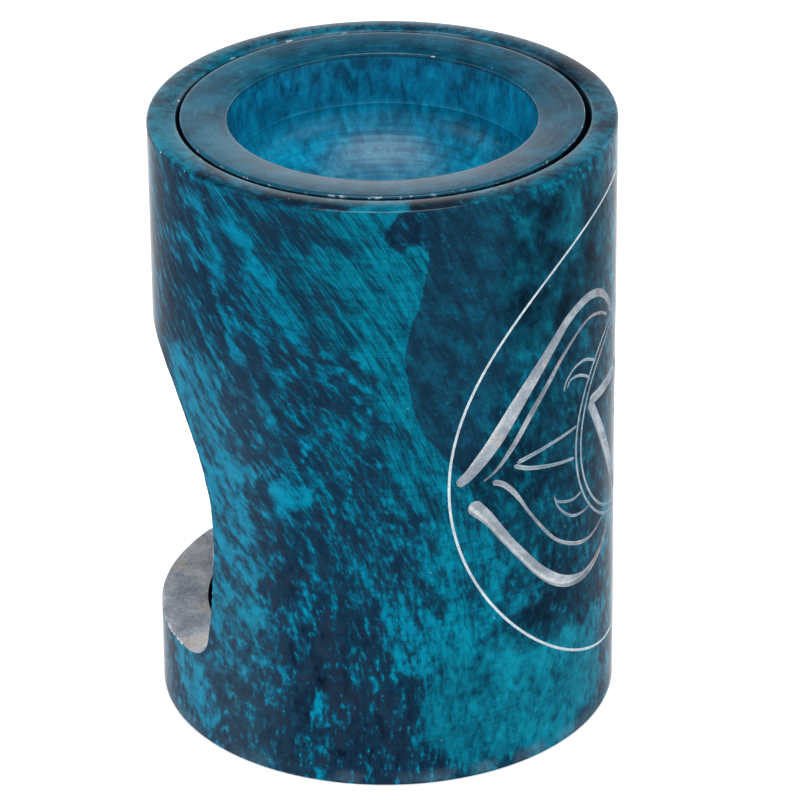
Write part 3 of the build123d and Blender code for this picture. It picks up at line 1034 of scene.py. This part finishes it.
# Strokes of the left petal: points (across, up) from the figure's centre, the widths from the
# first point to the last, and the depth, all in mm. The right petal mirrors them
PETAL_STROKES = {
    "upper_rim": ([(-42.4, 0.8), (-40.2, 2.5), (-36.4, 6.7), (-32.3, 12.1), (-29.2, 15.8), (-24.4, 20.9),
                   (-20.5, 24.1), (-15.9, 25.4), (-11.6, 24.6), (-7.8, 22.0), (-4.3, 18.0)],
                  [1.5, 2.3, 2.7, 2.6, 2.3, 2.0, 1.8, 1.6, 1.4, 1.1, 0.8], 0.7),
    "upper_vein": ([(-38.0, 0.6), (-35.3, 2.5), (-32.3, 6.0), (-29.5, 9.8), (-26.2, 13.7), (-22.5, 17.7),
                    (-18.2, 20.7), (-14.5, 21.6), (-10.6, 20.6), (-7.6, 18.9)],
                   [0.25, 0.9, 1.1, 0.9, 0.6, 0.5, 0.5], 0.4),
    "lower_rim": ([(-40.2, -2.9), (-37.1, -6.2), (-33.8, -10.7), (-30.2, -15.2), (-26.8, -19.0),
                   (-23.0, -22.0), (-19.2, -23.7), (-14.9, -24.2), (-10.1, -22.8), (-5.9, -20.1),
                   (-4.5, -18.4)],
                  [2.7, 1.9, 1.7, 1.8, 2.1, 2.0, 1.4, 1.0, 0.8], 0.75),
    "lower_vein": ([(-36.4, 0.2), (-34.2, -0.9), (-31.8, -3.6), (-29.4, -7.3), (-26.8, -10.8),
                    (-23.6, -14.3), (-19.9, -16.6), (-16.3, -17.9), (-12.8, -18.1), (-8.3, -17.0)],
                   [1.0, 0.9, 0.5, 0.5, 0.55, 0.6, 0.7, 0.55, 0.45], 0.35),
    "heart_top": ([(-31.9, 2.4), (-25.0, 3.4), (-18.5, 4.0)], [0.8, 0.6, 0.5], 0.3),
    "heart_foot": ([(-32.5, 2.0), (-29.5, 0.7), (-24.2, -0.6), (-19.0, -1.5)],
                   [0.8, 0.7, 0.6, 0.5], 0.3),
    "curl_1": ([(-22.0, 11.4), (-21.4, 13.0), (-19.3, 14.6), (-16.3, 14.8), (-13.1, 13.4)],
               [0.3, 0.5, 0.45], 0.25),
    "curl_2": ([(-21.1, 11.8), (-20.3, 12.9), (-18.1, 12.8), (-15.6, 11.6), (-14.6, 10.6)],
               [0.3, 0.5, 0.45], 0.25),
    "curl_3": ([(-24.0, -6.4), (-23.4, -7.5), (-21.1, -8.5), (-18.9, -8.9), (-16.8, -8.5)],
               [0.3, 0.5, 0.45], 0.25),
    "curl_4": ([(-24.0, -6.6), (-23.1, -8.6), (-21.1, -10.7), (-18.9, -12.0), (-16.4, -12.4),
                (-14.2, -12.3)],
               [0.3, 0.5, 0.45], 0.25),
}
# Slots of the body's finishes
SAWN, GOUGED, SCRATCHED, SCORED, RIM = 1, 2, 3, 4, 5
# Side of its path on which a wide groove is steep
STEEP_SIDE = {"upper_rim": -1, "lower_rim": 1}
RING_RADII = (18.6, 17.2)
RING_WIDTH, RING_DEPTH = 0.46, 0.18
OUTER_RING_CHORD = 41.3
OUTER_RING_WIDTH, OUTER_RING_DEPTH = 0.44, 0.17
TRIANGLE = [(-14.6, 6.6), (14.6, 6.6), (0.0, -16.2)]
TRIANGLE_WIDTHS, TRIANGLE_DEPTH = [1.8, 2.4, 1.8], 0.5
DOT_RADIUS, DOT_WIDTH, DOT_DEPTH = 1.0, 1.3, 0.4
CHATTER_PITCH = 0.55


def groove_cutter(name, path, widths, depth, finish, lean=0.0, closed=False, chatter=0.0):
    """The sliver of stone that a V-graver lifts along a path of points (across, up) on the wall.
    Its section is a V, whose foot is set off to one side by `lean`; its sides go on above the
    wall. Its width runs through `widths`, and both ends of an open path are round. Where the graver
    chattered, the depth rises and falls every CHATTER_PITCH."""
    count = len(path)
    along = np.gradient(path, axis=0)
    if closed:
        along = np.roll(path, -1, axis=0) - np.roll(path, 1, axis=0)
    along /= np.linalg.norm(along, axis=1, keepdims=True)
    sideways = np.stack([-along[:, 1], along[:, 0]], axis=1)
    width = np.interp(np.linspace(0, 1, count), np.linspace(0, 1, len(widths)), widths)
    steps = np.linalg.norm(np.diff(path, axis=0), axis=1)
    reach = np.concatenate([[0], np.cumsum(steps)])
    if not closed:
        end = np.minimum(reach, reach[-1] - reach) / (width / 2)
        width = width * np.sqrt(np.clip(1 - (1 - np.clip(end, 0, 1)) ** 2, 0.02, 1))
    deep = depth * (width / max(widths)) ** 0.8
    jumps = np.sin(2 * pi * (reach / CHATTER_PITCH + 0.35 * ripples(path, 3.0, seed=15)))
    deep = deep * (1 + chatter * jumps + chatter * ripples(path, 1.6, seed=16))
    section_across = np.array([-1.45, -1.0, lean * 0.9 - 0.06, lean * 0.9 + 0.06, 1.0, 1.45])
    section_down = np.array([-0.45, 0.0, 1.0, 1.0, 0.0, -0.45])
    place = path[:, None] + (width[:, None] / 2 * section_across)[..., None] * sideways[:, None]
    down = deep[:, None] * section_down
    rings = on_wall(place[..., 0], place[..., 1], -down)
    return new_mesh(name, *tube(rings, closed=closed), finish=finish)


def figure_cutters():
    """Every groove of the figure: two petals about a double ring, an inverted triangle with a dot
    in the ring, and one ring struck round all of it with a compass."""
    cutters = []
    for name, (points, widths, depth) in PETAL_STROKES.items():
        wide = max(widths) > 1.5
        path = smooth_path(points, 0.2 if wide else 0.4)
        finish = GOUGED if max(widths) > 0.85 else SCORED
        for side in (-1, 1):
            mirrored = path * [-side, 1]
            lean = 0.62 * side * STEEP_SIDE.get(name, 0)
            chatter = 0.07 if wide else 0.0
            cutters.append(groove_cutter(name, mirrored, widths, depth, finish, lean, chatter=chatter))
    for radius in RING_RADII:
        angle = np.linspace(0, 2 * pi, int(2 * pi * radius / 0.5), endpoint=False)
        ring = radius * np.stack([np.cos(angle), np.sin(angle)], axis=1)
        cutters.append(groove_cutter("ring", ring, [RING_WIDTH], RING_DEPTH, SCORED, closed=True))
    angle = np.linspace(0, 2 * pi, 520, endpoint=False)
    chord = OUTER_RING_CHORD * np.cos(angle)
    arc_length = 2 * BODY_RADIUS * np.arcsin(chord / (2 * BODY_RADIUS))
    ring = np.stack([arc_length, OUTER_RING_CHORD * np.sin(angle)], axis=1)
    width, depth = [OUTER_RING_WIDTH], OUTER_RING_DEPTH
    cutters.append(groove_cutter("outer_ring", ring, width, depth, SCRATCHED, closed=True))
    for start, end in zip(TRIANGLE, TRIANGLE[1:] + TRIANGLE[:1]):
        side = np.concatenate([[start], run(start, end, 0.3), [end]])
        widths, depth = TRIANGLE_WIDTHS, TRIANGLE_DEPTH
        cutters.append(groove_cutter("triangle_side", side, widths, depth, GOUGED, -0.3, chatter=0.05))
    turn = np.linspace(0, 2 * pi, 40, endpoint=False)
    dot = np.stack([DOT_RADIUS * np.cos(turn), DOT_RADIUS * np.sin(turn) - 1.0], axis=1)
    cutters.append(groove_cutter("dot", dot, [DOT_WIDTH], DOT_DEPTH, GOUGED, closed=True))
    return cutters


# How far the grain falls to the right, in mm per mm down: at the photographed side half-way up,
# how much more at the top, and how much more per radian to the left
GRAIN_Z = 66.0
GRAIN_LEAN = 0.5
GRAIN_LEAN_RISE = 0.1
GRAIN_FAN = 0.55

# Left edge of the dark vein, as points (degrees from the photographed side, mm of height)
VEIN_EDGE = [(10.5, 102), (10.8, 95.5), (8.7, 86.8), (5.8, 81), (4.8, 77), (5.5, 72.7), (7.4, 66.4),
             (10.4, 62.4), (14.2, 59.3), (18, 56), (22, 53)]

# Where the dye took, as soft patches laid one over another. Each row gives a patch's middle, as
# degrees round from the photographed side and mm of height, its half width and half height in mm,
# how far it leans to the right per mm down, then how teal, streaked and cloudy it is. Teal runs
# from about -0.2, bare dark stone, through 0, half and half, to 0.2, all teal.
WALL_PATCHES = [
    (-80, 52, 14, 60, 0.0, -0.05, 0.1, 0.0),
    (-62, 84, 6.5, 24, 0.1, -0.06, 0.15, 0.0),
    (-44, 88, 12, 14, 0.3, -0.04, 0.3, 0.0),
    (-28, 73, 10, 13, 0.4, -0.045, 0.3, 0.0),
    (-10, 50, 14, 20, 0.3, -0.035, 0.25, 0.0),
    (-22, 30, 9, 14, 0.2, -0.05, 0.1, 0.0),
    (-34, 8, 10, 9, 0.1, -0.09, 0.0, 0.0),
    (-6, 14, 12, 15, 0.25, -0.13, 0.0, 0.0),
    (45, 55, 20, 24, 0.0, -0.05, 0.0, 0.6),
    (-50, 61, 7, 12, 0.5, 0.08, 0.1, 0.0),
    (-42, 35, 6.0, 19, 0.1, 0.07, 0.1, 0.0),
    (-59, 10, 6, 8, 0.3, 0.09, 0.1, 0.0),
    (-20, 91, 15, 13, 0.6, -0.03, 0.9, 0.0),
    (-44, 86, 1.9, 13, 0.27, 0.06, 0.5, 0.0),
    (-32, 89, 2.4, 11, 0.7, 0.07, 0.5, 0.0),
    (2, 87, 7.5, 17, 0.2, 0.05, 0.95, 0.0),
    (6, 68, 4.4, 9, 0.2, 0.05, 0.85, 0.0),
    (15, 51, 5.0, 14, 0.62, 0.02, 0.75, 0.0),
    (24, 34, 6.5, 13, 0.62, 0.04, 0.4, 0.0),
    (11, 26, 8, 7, 0.5, 0.09, 0.1, 0.0),
    (37, 13, 20, 12, 0.0, 0.11, 0.1, 0.6),
    (5, 98.5, 3, 2.5, 0.0, -0.2, 0.2, 0.2),
    (27, 80, 6, 20, 0.0, -0.06, 0.0, 0.5),
    (24, 62, 3, 8, 0.3, -0.05, 0.1, 0.45),
    (48, 87, 15, 14, 0.0, -0.01, 0.0, 1.0),
    (50, 25, 13, 5, 0.0, -0.07, 0.0, 0.6),
    (-23, 51.5, 3.2, 2.8, 0.1, 0.16, 0.0, 0.0),
    (-38, 53.5, 4.4, 2.0, 0.2, 0.14, 0.0, 0.0),
    (-20, 59.5, 1.5, 2.2, 0.2, 0.14, 0.0, 0.0),
    (-17, 11, 1.5, 6, -0.1, 0.1, 0.0, 0.0),
]

# How teal the rim's top is, by degrees round from the photographed side
RIM_TEAL = [(-180, 0.04), (-165, 0.1), (-150, 0.0), (-135, 0.1), (-110, 0.04), (-88, 0.1),
            (-75, 0.16), (-58, 0.14), (-50, -0.08), (-38, 0.06), (-20, -0.14), (-4, 0.14),
            (6, 0.08), (12, -0.35), (22, 0.0), (34, 0.0), (60, 0.05), (90, 0.03),
            (118, -0.12), (140, 0.0), (160, 0.08), (180, 0.04)]

# Teal and streaks where no patch lies, and the teal lean of stone bored after it was dyed
UNPATCHED_TEAL, UNPATCHED_STREAKS = -0.03, 0.15
BORED_TEAL = -0.35
UNSEEN_PATCHES = 34


def unseen_patches():
    """Patches of the same kind, drawn by lot, for the side that the photograph doesn't show."""
    random = np.random.default_rng(61)
    rows = []
    for number in range(UNSEEN_PATCHES):
        angle = 105 + 150 * ((number * 0.618) % 1) + random.uniform(-6, 6)
        teal = random.choice([-0.14, -0.1, -0.05, -0.02, 0.04, 0.08])
        streak = random.choice([0.0, 0.1, 0.5, 0.9])
        size = (random.uniform(4, 11), random.uniform(6, 18), random.uniform(0.0, 0.6))
        middle, cloudy = random.uniform(0, 102), random.choice([0.0, 0.0, 0.5])
        rows.append((angle, middle, *size, teal, streak, cloudy))
    return rows


def grain_lean(angle, height):
    """How far the grain falls to the right, in mm per mm down, at an angle in radians from the
    photographed side. It fans out to the left, and fades to none at the foot."""
    lean = GRAIN_LEAN + GRAIN_LEAN_RISE * np.clip((height - 75) / 20, -1, 1)
    return (lean - GRAIN_FAN * np.clip(np.sin(angle), -0.6, 0.3)) * soft_step(height, 5, 60)


def turn_of_grain(points, angle):
    """Angle from each point to where its line of grain crosses the level GRAIN_Z, so that the grain
    stands upright once a point is turned by it. The line is followed there in short steps."""
    steps = 16
    height = points[:, 2].copy()
    rise = (GRAIN_Z - height) / steps
    place = angle.copy()
    for _ in range(steps):
        place -= grain_lean(place, height) * rise / BODY_RADIUS
        height += rise
    return place - angle


def vein_cover(points, side, on_rim):
    """How far each point lies past the dark vein's left edge, in mm, and how wholly the vein covers
    it. The edge is a smooth line down the wall, and the vein fades out to the right."""
    edge = smooth_path(VEIN_EDGE, 0.5)[::-1]
    left = np.interp(points[:, 2], edge[:, 1], edge[:, 0])
    past_edge = np.clip(np.radians(side - left) * BODY_RADIUS, -5, 5)
    width = soft_step(points[:, 2], 60, 74)
    right = 22 + 8 * width + 2 * ripples(points, 9.0, seed=49)
    cover = (1 - soft_step(side, right - 5, right + 4)) * soft_step(side, -5, 0)
    return past_edge, cover * soft_step(points[:, 2], 55, 60) * (1 - on_rim)


def patch_cover(points, view):
    """How teal, streaked and cloudy the patches leave each point. A patch covers a point wholly
    where |across / width|^3 + |up / height|^3 is well under 1, and fades out round 1; its outline
    wavers by a smooth random field."""
    height = points[:, 2] + 1.2 * ripples(points, 7.0, seed=42)
    waver = 0.9 * ripples(points, 6.0, seed=43) + 0.35 * ripples(points, 2.2, seed=44)
    teal = np.full(len(points), UNPATCHED_TEAL)
    streaked = np.full(len(points), UNPATCHED_STREAKS)
    cloudy = np.zeros(len(points))
    for angle, middle, half_width, half_height, lean, *looks in unseen_patches() + WALL_PATCHES:
        around = (view - radians(angle) + pi) % (2 * pi) - pi
        across = BODY_RADIUS * around + lean * (height - middle) + waver
        far = np.abs(across / half_width) ** 3 + np.abs((height - middle) / half_height) ** 3
        cover = 1 - soft_step(far, 0.55, 1.25)
        for field, look in zip((teal, streaked, cloudy), looks):
            field += cover * (look - field)
    return teal, streaked, cloudy


def bloom(points, radius, side, on_rim):
    """How pale a bloom each point is laid with: a little wax bloom on the rim, a painted sheen low on
    the wall's left, a pale line along the pocket's lip that is worn stone and a painted highlight,
    and a paler band just above the foot."""
    height = points[:, 2]
    rim = 0.02 + 0.02 * ripples(points, 12.0, seed=45)
    # A pale line along the pocket's lip: worn stone and a painted highlight
    lip = soft_step(-radius, -POCKET_RADIUS - 0.6, -POCKET_RADIUS - 0.3)
    lip *= on_rim * soft_step(ripples(points, 14.0, seed=48), -0.9, 0.3)
    # A painted sheen low on the wall's left
    wall = 0.09 * soft_step(-side, 20, 42) * (1 - soft_step(-side, 55, 75))
    wall *= soft_step(-height, -82, -58)
    foot = soft_step(height, 0.5, 0.9) * (1 - soft_step(height, 1.2, 2.4))
    foot *= soft_step(ripples(points, 9.0, seed=46), -0.4, 0.8)
    return np.clip(on_rim * rim + (1 - on_rim) * wall + 0.3 * lip + 0.4 * foot, 0, 0.8)


def lay_of_dye(mesh):
    """Stores on the body where and how the dye took, how pale its bloom and painted sheen are, how
    deep a point is cut, and which way its grain turns: one number per point for each name."""
    points = points_of(mesh)
    height = points[:, 2]
    radius = np.hypot(points[:, 0], points[:, 1])
    view = np.arctan2(points[:, 0], -points[:, 1]) - CAMERA_AZIMUTH
    side = np.degrees((view + pi) % (2 * pi) - pi)
    teal, streaked, cloudy = patch_cover(points, view)
    bored = (radius < POCKET_RADIUS + 0.4) & (height < BODY_HEIGHT - 0.6)
    bored &= height > WELL_FLOOR_Z - 0.1
    teal[bored] = BORED_TEAL
    on_rim = 1 - soft_step(radius, BODY_RADIUS - 0.5, BODY_RADIUS - 0.2)
    on_rim *= height > BODY_HEIGHT - 0.6
    rim_side, rim_teal = np.array(RIM_TEAL).T
    wavering_side = side + 3 * ripples(points, 5.0, seed=47)
    teal += on_rim * (np.interp(wavering_side, rim_side, rim_teal) - teal)
    green = np.maximum(streaked * soft_step(side, -42, -8), 0.8 * soft_step(side, 2, 14))
    low = soft_step(-height, -70, -15)
    smoky = np.clip(1.1 - 0.03 * np.abs(side + 20), 0, 1) * (0.7 + 0.6 * low) * (1 - cloudy)
    past_vein_edge, vein = vein_cover(points, side, on_rim)
    fields = {
        "teal_lean": teal,
        "streaked": streaked * (1 - on_rim),
        "green": green * (1 - on_rim),
        "cloudy": cloudy * (1 - on_rim) + 0.55 * on_rim,
        "smoky": smoky,
        "bloom_and_sheen": bloom(points, radius, side, on_rim),
        "cut_depth": np.clip(BODY_RADIUS - radius, 0, 2) * (radius > POCKET_RADIUS + 1.0),
        "grain_turn": turn_of_grain(points, np.radians(side)),
        "past_vein_edge": past_vein_edge,
        "vein": vein,
        "bored": bored,
    }
    for name, values in fields.items():
        layer = mesh.attributes.new(name, "FLOAT", "POINT")
        layer.data.foreach_set("value", values.astype(np.float32))


def make_body(finishes):
    """The burner's body: turned, sawn, chipped and engraved."""
    cutters = [mouth_cutter(), mouth_edge_cutter(), *sill_chips(), *rim_chips(), *figure_cutters()]
    body = carved("carved_body", turned_body(), cutters, finishes)
    lay_of_dye(body.data)
    crease(body.data, radians(32))
    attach(body, "burner")
    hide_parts("burner_body")


# Oil dish

# Slot of the finish in the dish's chips, and how many there are
DISH_SCRATCHED = 1
DISH_CHIPS = 14


def make_dish(finishes):
    """The oil dish: a turned puck. Its bowl is nearly straight down to a fine step, and below that
    a quarter of an ellipse, (radius cos t, -depth sin t), with the rings of the lathe tool. Its
    flange bulges above a straight fall of FLANGE_FALL by FLANGE_FALL times u (1 - u), u running
    from 0 at the bowl to 1 at the rim."""
    lip_z = DISH_TOP_Z - FLANGE_FALL
    step_radius = BOWL_RADIUS - BOWL_WALL_TAPER
    hollow_radius = step_radius - BOWL_STEP_WIDTH
    hollow_depth = BOWL_STEP_Z - BOWL_FLOOR_Z
    outline = rounded_outline([
        (0, LEDGE_Z, 0, 5.0),
        (DISH_RADIUS, LEDGE_Z, DISH_FOOT_ROUND, 1.6),
        (DISH_RADIUS, DISH_TOP_Z, DISH_RIM_ROUND, 0.5),
        (BOWL_RADIUS, lip_z, BOWL_LIP_ROUND, 0.8),
        (step_radius, BOWL_STEP_Z, BOWL_STEP_ROUND, 0.4),
        (hollow_radius, BOWL_STEP_Z, 0, 1.0),
    ])
    u = (outline[:, 0] - BOWL_RADIUS) / (DISH_RADIUS - BOWL_RADIUS)
    outline[:, 1] += FLANGE_FALL * u * (1 - u) * ((u > 0) & (outline[:, 1] > lip_z - 0.01))
    turn = np.linspace(0, pi / 2, 105)[1:]
    hollow = np.stack([hollow_radius * np.cos(turn), BOWL_STEP_Z - hollow_depth * np.sin(turn)], axis=1)
    upright = np.stack([-np.cos(turn) / hollow_radius, np.sin(turn) / hollow_depth], axis=1)
    upright /= np.linalg.norm(upright, axis=1, keepdims=True)
    along = np.cumsum(np.linalg.norm(np.diff(hollow, axis=0, prepend=hollow[:1]), axis=1))
    ring_marks = RING_MARK_DEPTH * np.sin(2 * pi * along / RING_MARK_PITCH)
    ring_marks *= soft_step(hollow[:, 0], 0.6, 2.0)
    outline = np.concatenate([outline, hollow + upright * ring_marks[:, None]])
    outline[-1, 0] = 0.0
    points, faces = turned(outline, 240)
    dish = carved("turned_dish", new_mesh("turned_dish", points, faces), dish_chips(), finishes)
    crease(dish.data, radians(32))
    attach(dish, "dish")
    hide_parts("oil_dish")


def dish_chips():
    """Fine chips along the dish's outer edge and the lip of its bowl."""
    random = np.random.default_rng(77)
    cutters = []
    for number in range(DISH_CHIPS):
        angle = 2 * pi * (number + random.uniform(0.1, 0.9)) / DISH_CHIPS
        on_lip = number % 2
        radius = BOWL_RADIUS if on_lip else DISH_RADIUS
        height = DISH_TOP_Z - (FLANGE_FALL if on_lip else 0.0)
        size = (random.uniform(0.3, 0.9), random.uniform(0.08, 0.16), random.uniform(0.08, 0.18))
        seed = 90 + number
        cutters.append(chip_cutter("dish_chip", angle, radius, height, size, seed, DISH_SCRATCHED))
    return cutters


# Tealight

def make_cup(foil):
    """The tealight's foil cup: a drawn wall with shallow flutes low down and a curled edge. A flute
    draws the wall in by FLUTE_DEPTH (1 + cos(FLUTES t)) at angle t."""
    top = cup_high[2]
    wall = TEALIGHT_RADIUS - CUP_BEAD
    base = wall - CUP_DRAFT
    floor_z = WELL_FLOOR_Z + FOIL
    outline = rounded_outline([
        (0, WELL_FLOOR_Z, 0, 1.5),
        (base, WELL_FLOOR_Z, 0.6, 0.6),
        (wall, top - 2 * CUP_BEAD, 0, 0.4),
    ])
    curl = arc((wall, top - CUP_BEAD), CUP_BEAD, -pi / 2, pi, 0.12)
    inner = rounded_outline([
        (wall - FOIL, top - 2 * CUP_BEAD, 0, 0.8),
        (base - FOIL, floor_z, 0.4, 1.5),
        (0, floor_z, 0, 1.0),
    ])
    points, faces = turned(np.concatenate([outline, curl, inner]), 288)
    radius = np.hypot(points[:, 0], points[:, 1])
    angle = np.arctan2(points[:, 0], -points[:, 1])
    height = points[:, 2]
    low_band = soft_step(height, floor_z, WELL_FLOOR_Z + 1.5)
    low_band *= soft_step(-height, -WELL_FLOOR_Z - 9.0, -WELL_FLOOR_Z - 3.0)
    flute = -FLUTE_DEPTH * (1 + np.cos(FLUTES * angle)) * low_band * (radius > base - 1.0)
    points[:, :2] *= (1 + flute / np.maximum(radius, 1.0))[:, None]
    cup = new_object("foil_cup", new_mesh("foil_cup", points, faces), [foil])
    crease(cup.data, radians(40))
    dress(cup, "tealight_cup")


def make_wax(wax):
    """The wax. Its face lies WAX_DISH low, climbs by exp(-distance / reach) at the cup's wall and
    at the wick, and is gently wavy."""
    top = wax_high[2]
    edge = (wax_high[0] - wax_low[0]) / 2
    low = WELL_FLOOR_Z + FOIL
    spans = ((edge, edge - 1.5, 10), (edge - 2, 2.0, 24), (1.8, 0, 8))
    radius = np.concatenate([np.linspace(*span) for span in spans])
    climb = WAX_DISH * np.exp(-(edge - radius) / 0.45) + 0.45 * np.exp(-radius / 0.7)
    face = np.stack([radius, top - WAX_DISH + climb], axis=1)
    side = rounded_outline([(0, low, 0, 3.0), (edge - 0.6, low, 0.3, 1.0), (edge, top - 0.4, 0, 1.0)])
    points, faces = turned(np.concatenate([side, face]), 160)
    on_face = points[:, 2] > top - 0.5
    points[on_face, 2] += 0.06 * ripples(points[on_face, :2], 9.0, seed=51)
    piece = new_object("wax", new_mesh("wax", points, faces), [wax])
    dress(piece, "tealight_wax")


def make_wick(cotton):
    """The wick: strands braided, strand k at (a cos u, b sin 2u) with u = 2 pi (z / pitch + k / 3),
    bent a little at its tip."""
    low, high = wick_low[2], wick_high[2]
    height = np.linspace(low, high, 90)
    ring = np.linspace(0, 2 * pi, 10, endpoint=False)
    points, faces = [], []
    for strand in range(STRANDS):
        u = 2 * pi * ((height - low) / BRAID_PITCH + strand / STRANDS)
        bend = 0.5 * soft_step(height, high - 5.0, high) ** 1.5
        across = BRAID_HALF_WIDTH * np.cos(u) + bend
        centre = np.stack([across, BRAID_HALF_DEPTH * np.sin(2 * u), height], axis=1)
        taper = np.clip(np.minimum(height - low, high - height) / 0.3, 0.15, 1) ** 0.5
        circle = np.stack([np.cos(ring), np.sin(ring), np.zeros_like(ring)], axis=1)
        rings = centre[:, None] + STRAND_RADIUS * taper[:, None, None] * circle[None]
        strand_points, strand_faces = tube(rings)
        first = len(points) * len(strand_points)
        faces += [[first + corner for corner in face] for face in strand_faces]
        points.append(strand_points)
    mesh = new_mesh("braided_wick", np.concatenate(points), faces)
    piece = new_object("braided_wick", mesh, [cotton])
    crease(piece.data, radians(60))
    dress(piece, "tealight_wick")


def make_sustainer(steel):
    """The wick's foot: a stamped disc with a neck, crimped on four sides to grip the wick."""
    low, high = sustainer_low[2], sustainer_high[2]
    disc = (sustainer_high[0] - sustainer_low[0]) / 2
    disc_top = low + FOOT_DISC
    outline = rounded_outline([
        (0, low, 0, 1.0),
        (disc, low, 0.1, 0.2),
        (disc, disc_top, 0.1, 0.6),
        (NECK_RADIUS, disc_top, 0.15, 0.4),
        (NECK_RADIUS, high, 0.1, 0.2),
        (NECK_BORE_RADIUS, high, 0.1, 0.6),
        (NECK_BORE_RADIUS, disc_top, 0, 0.5),
        (0, disc_top, 0, 1.0),
    ])
    points, faces = turned(outline, 96)
    angle = np.arctan2(points[:, 0], -points[:, 1])
    crimp = soft_step(points[:, 2], low + 1.2, low + 2.2)
    crimp *= np.hypot(points[:, 0], points[:, 1]) > 1.0
    points[:, :2] *= (1 - 0.12 * crimp * (0.5 + 0.5 * np.cos(4 * angle)))[:, None]
    piece = new_object("wick_foot", new_mesh("wick_foot", points, faces), [steel])
    crease(piece.data, radians(40))
    dress(piece, "wick_sustainer")


def dress(piece, node):
    """The piece stands for a node of the tealight and moves with it."""
    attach(piece, "tealight")
    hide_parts(node)


place_camera()
studio()
sawn_greys = ("#989eab", "#b0b6c1", "#ced2d9")
sawn = raw_soapstone("sawn_soapstone", sawn_greys, "#d0c8bf", 0.7, 0.5)
gouged_greys = ("#808a95", "#959faa", "#b3bbc3")
gouged = raw_soapstone("gouged_soapstone", gouged_greys, "#b8aca6", 0.55, 0.35, bruise_and_highlight=0.75)
scratched_greys = ("#bccdd5", "#cfdde3", "#e6eef1")
scratched = raw_soapstone("scratched_soapstone", scratched_greys, "#cdd6d9", 0.3, 0.3)
scored_greys = ("#8499a6", "#99abb7", "#b2c1ca")
scored = raw_soapstone("scored_soapstone", scored_greys, "#b3bcc0", 0.3, 0.3)
wall = dyed_polished_soapstone("dyed_polished_soapstone", 0.0105, 0.08)
rim = dyed_polished_soapstone("dyed_rubbed_soapstone", 0.17, 0.08)
make_body([wall, sawn, gouged, scratched, scored, rim])
make_dish([dyed_turned_soapstone(), scratched])
make_cup(pressed_aluminium())
make_wax(cast_paraffin())
make_wick(braided_cotton())
make_sustainer(tinned_steel())
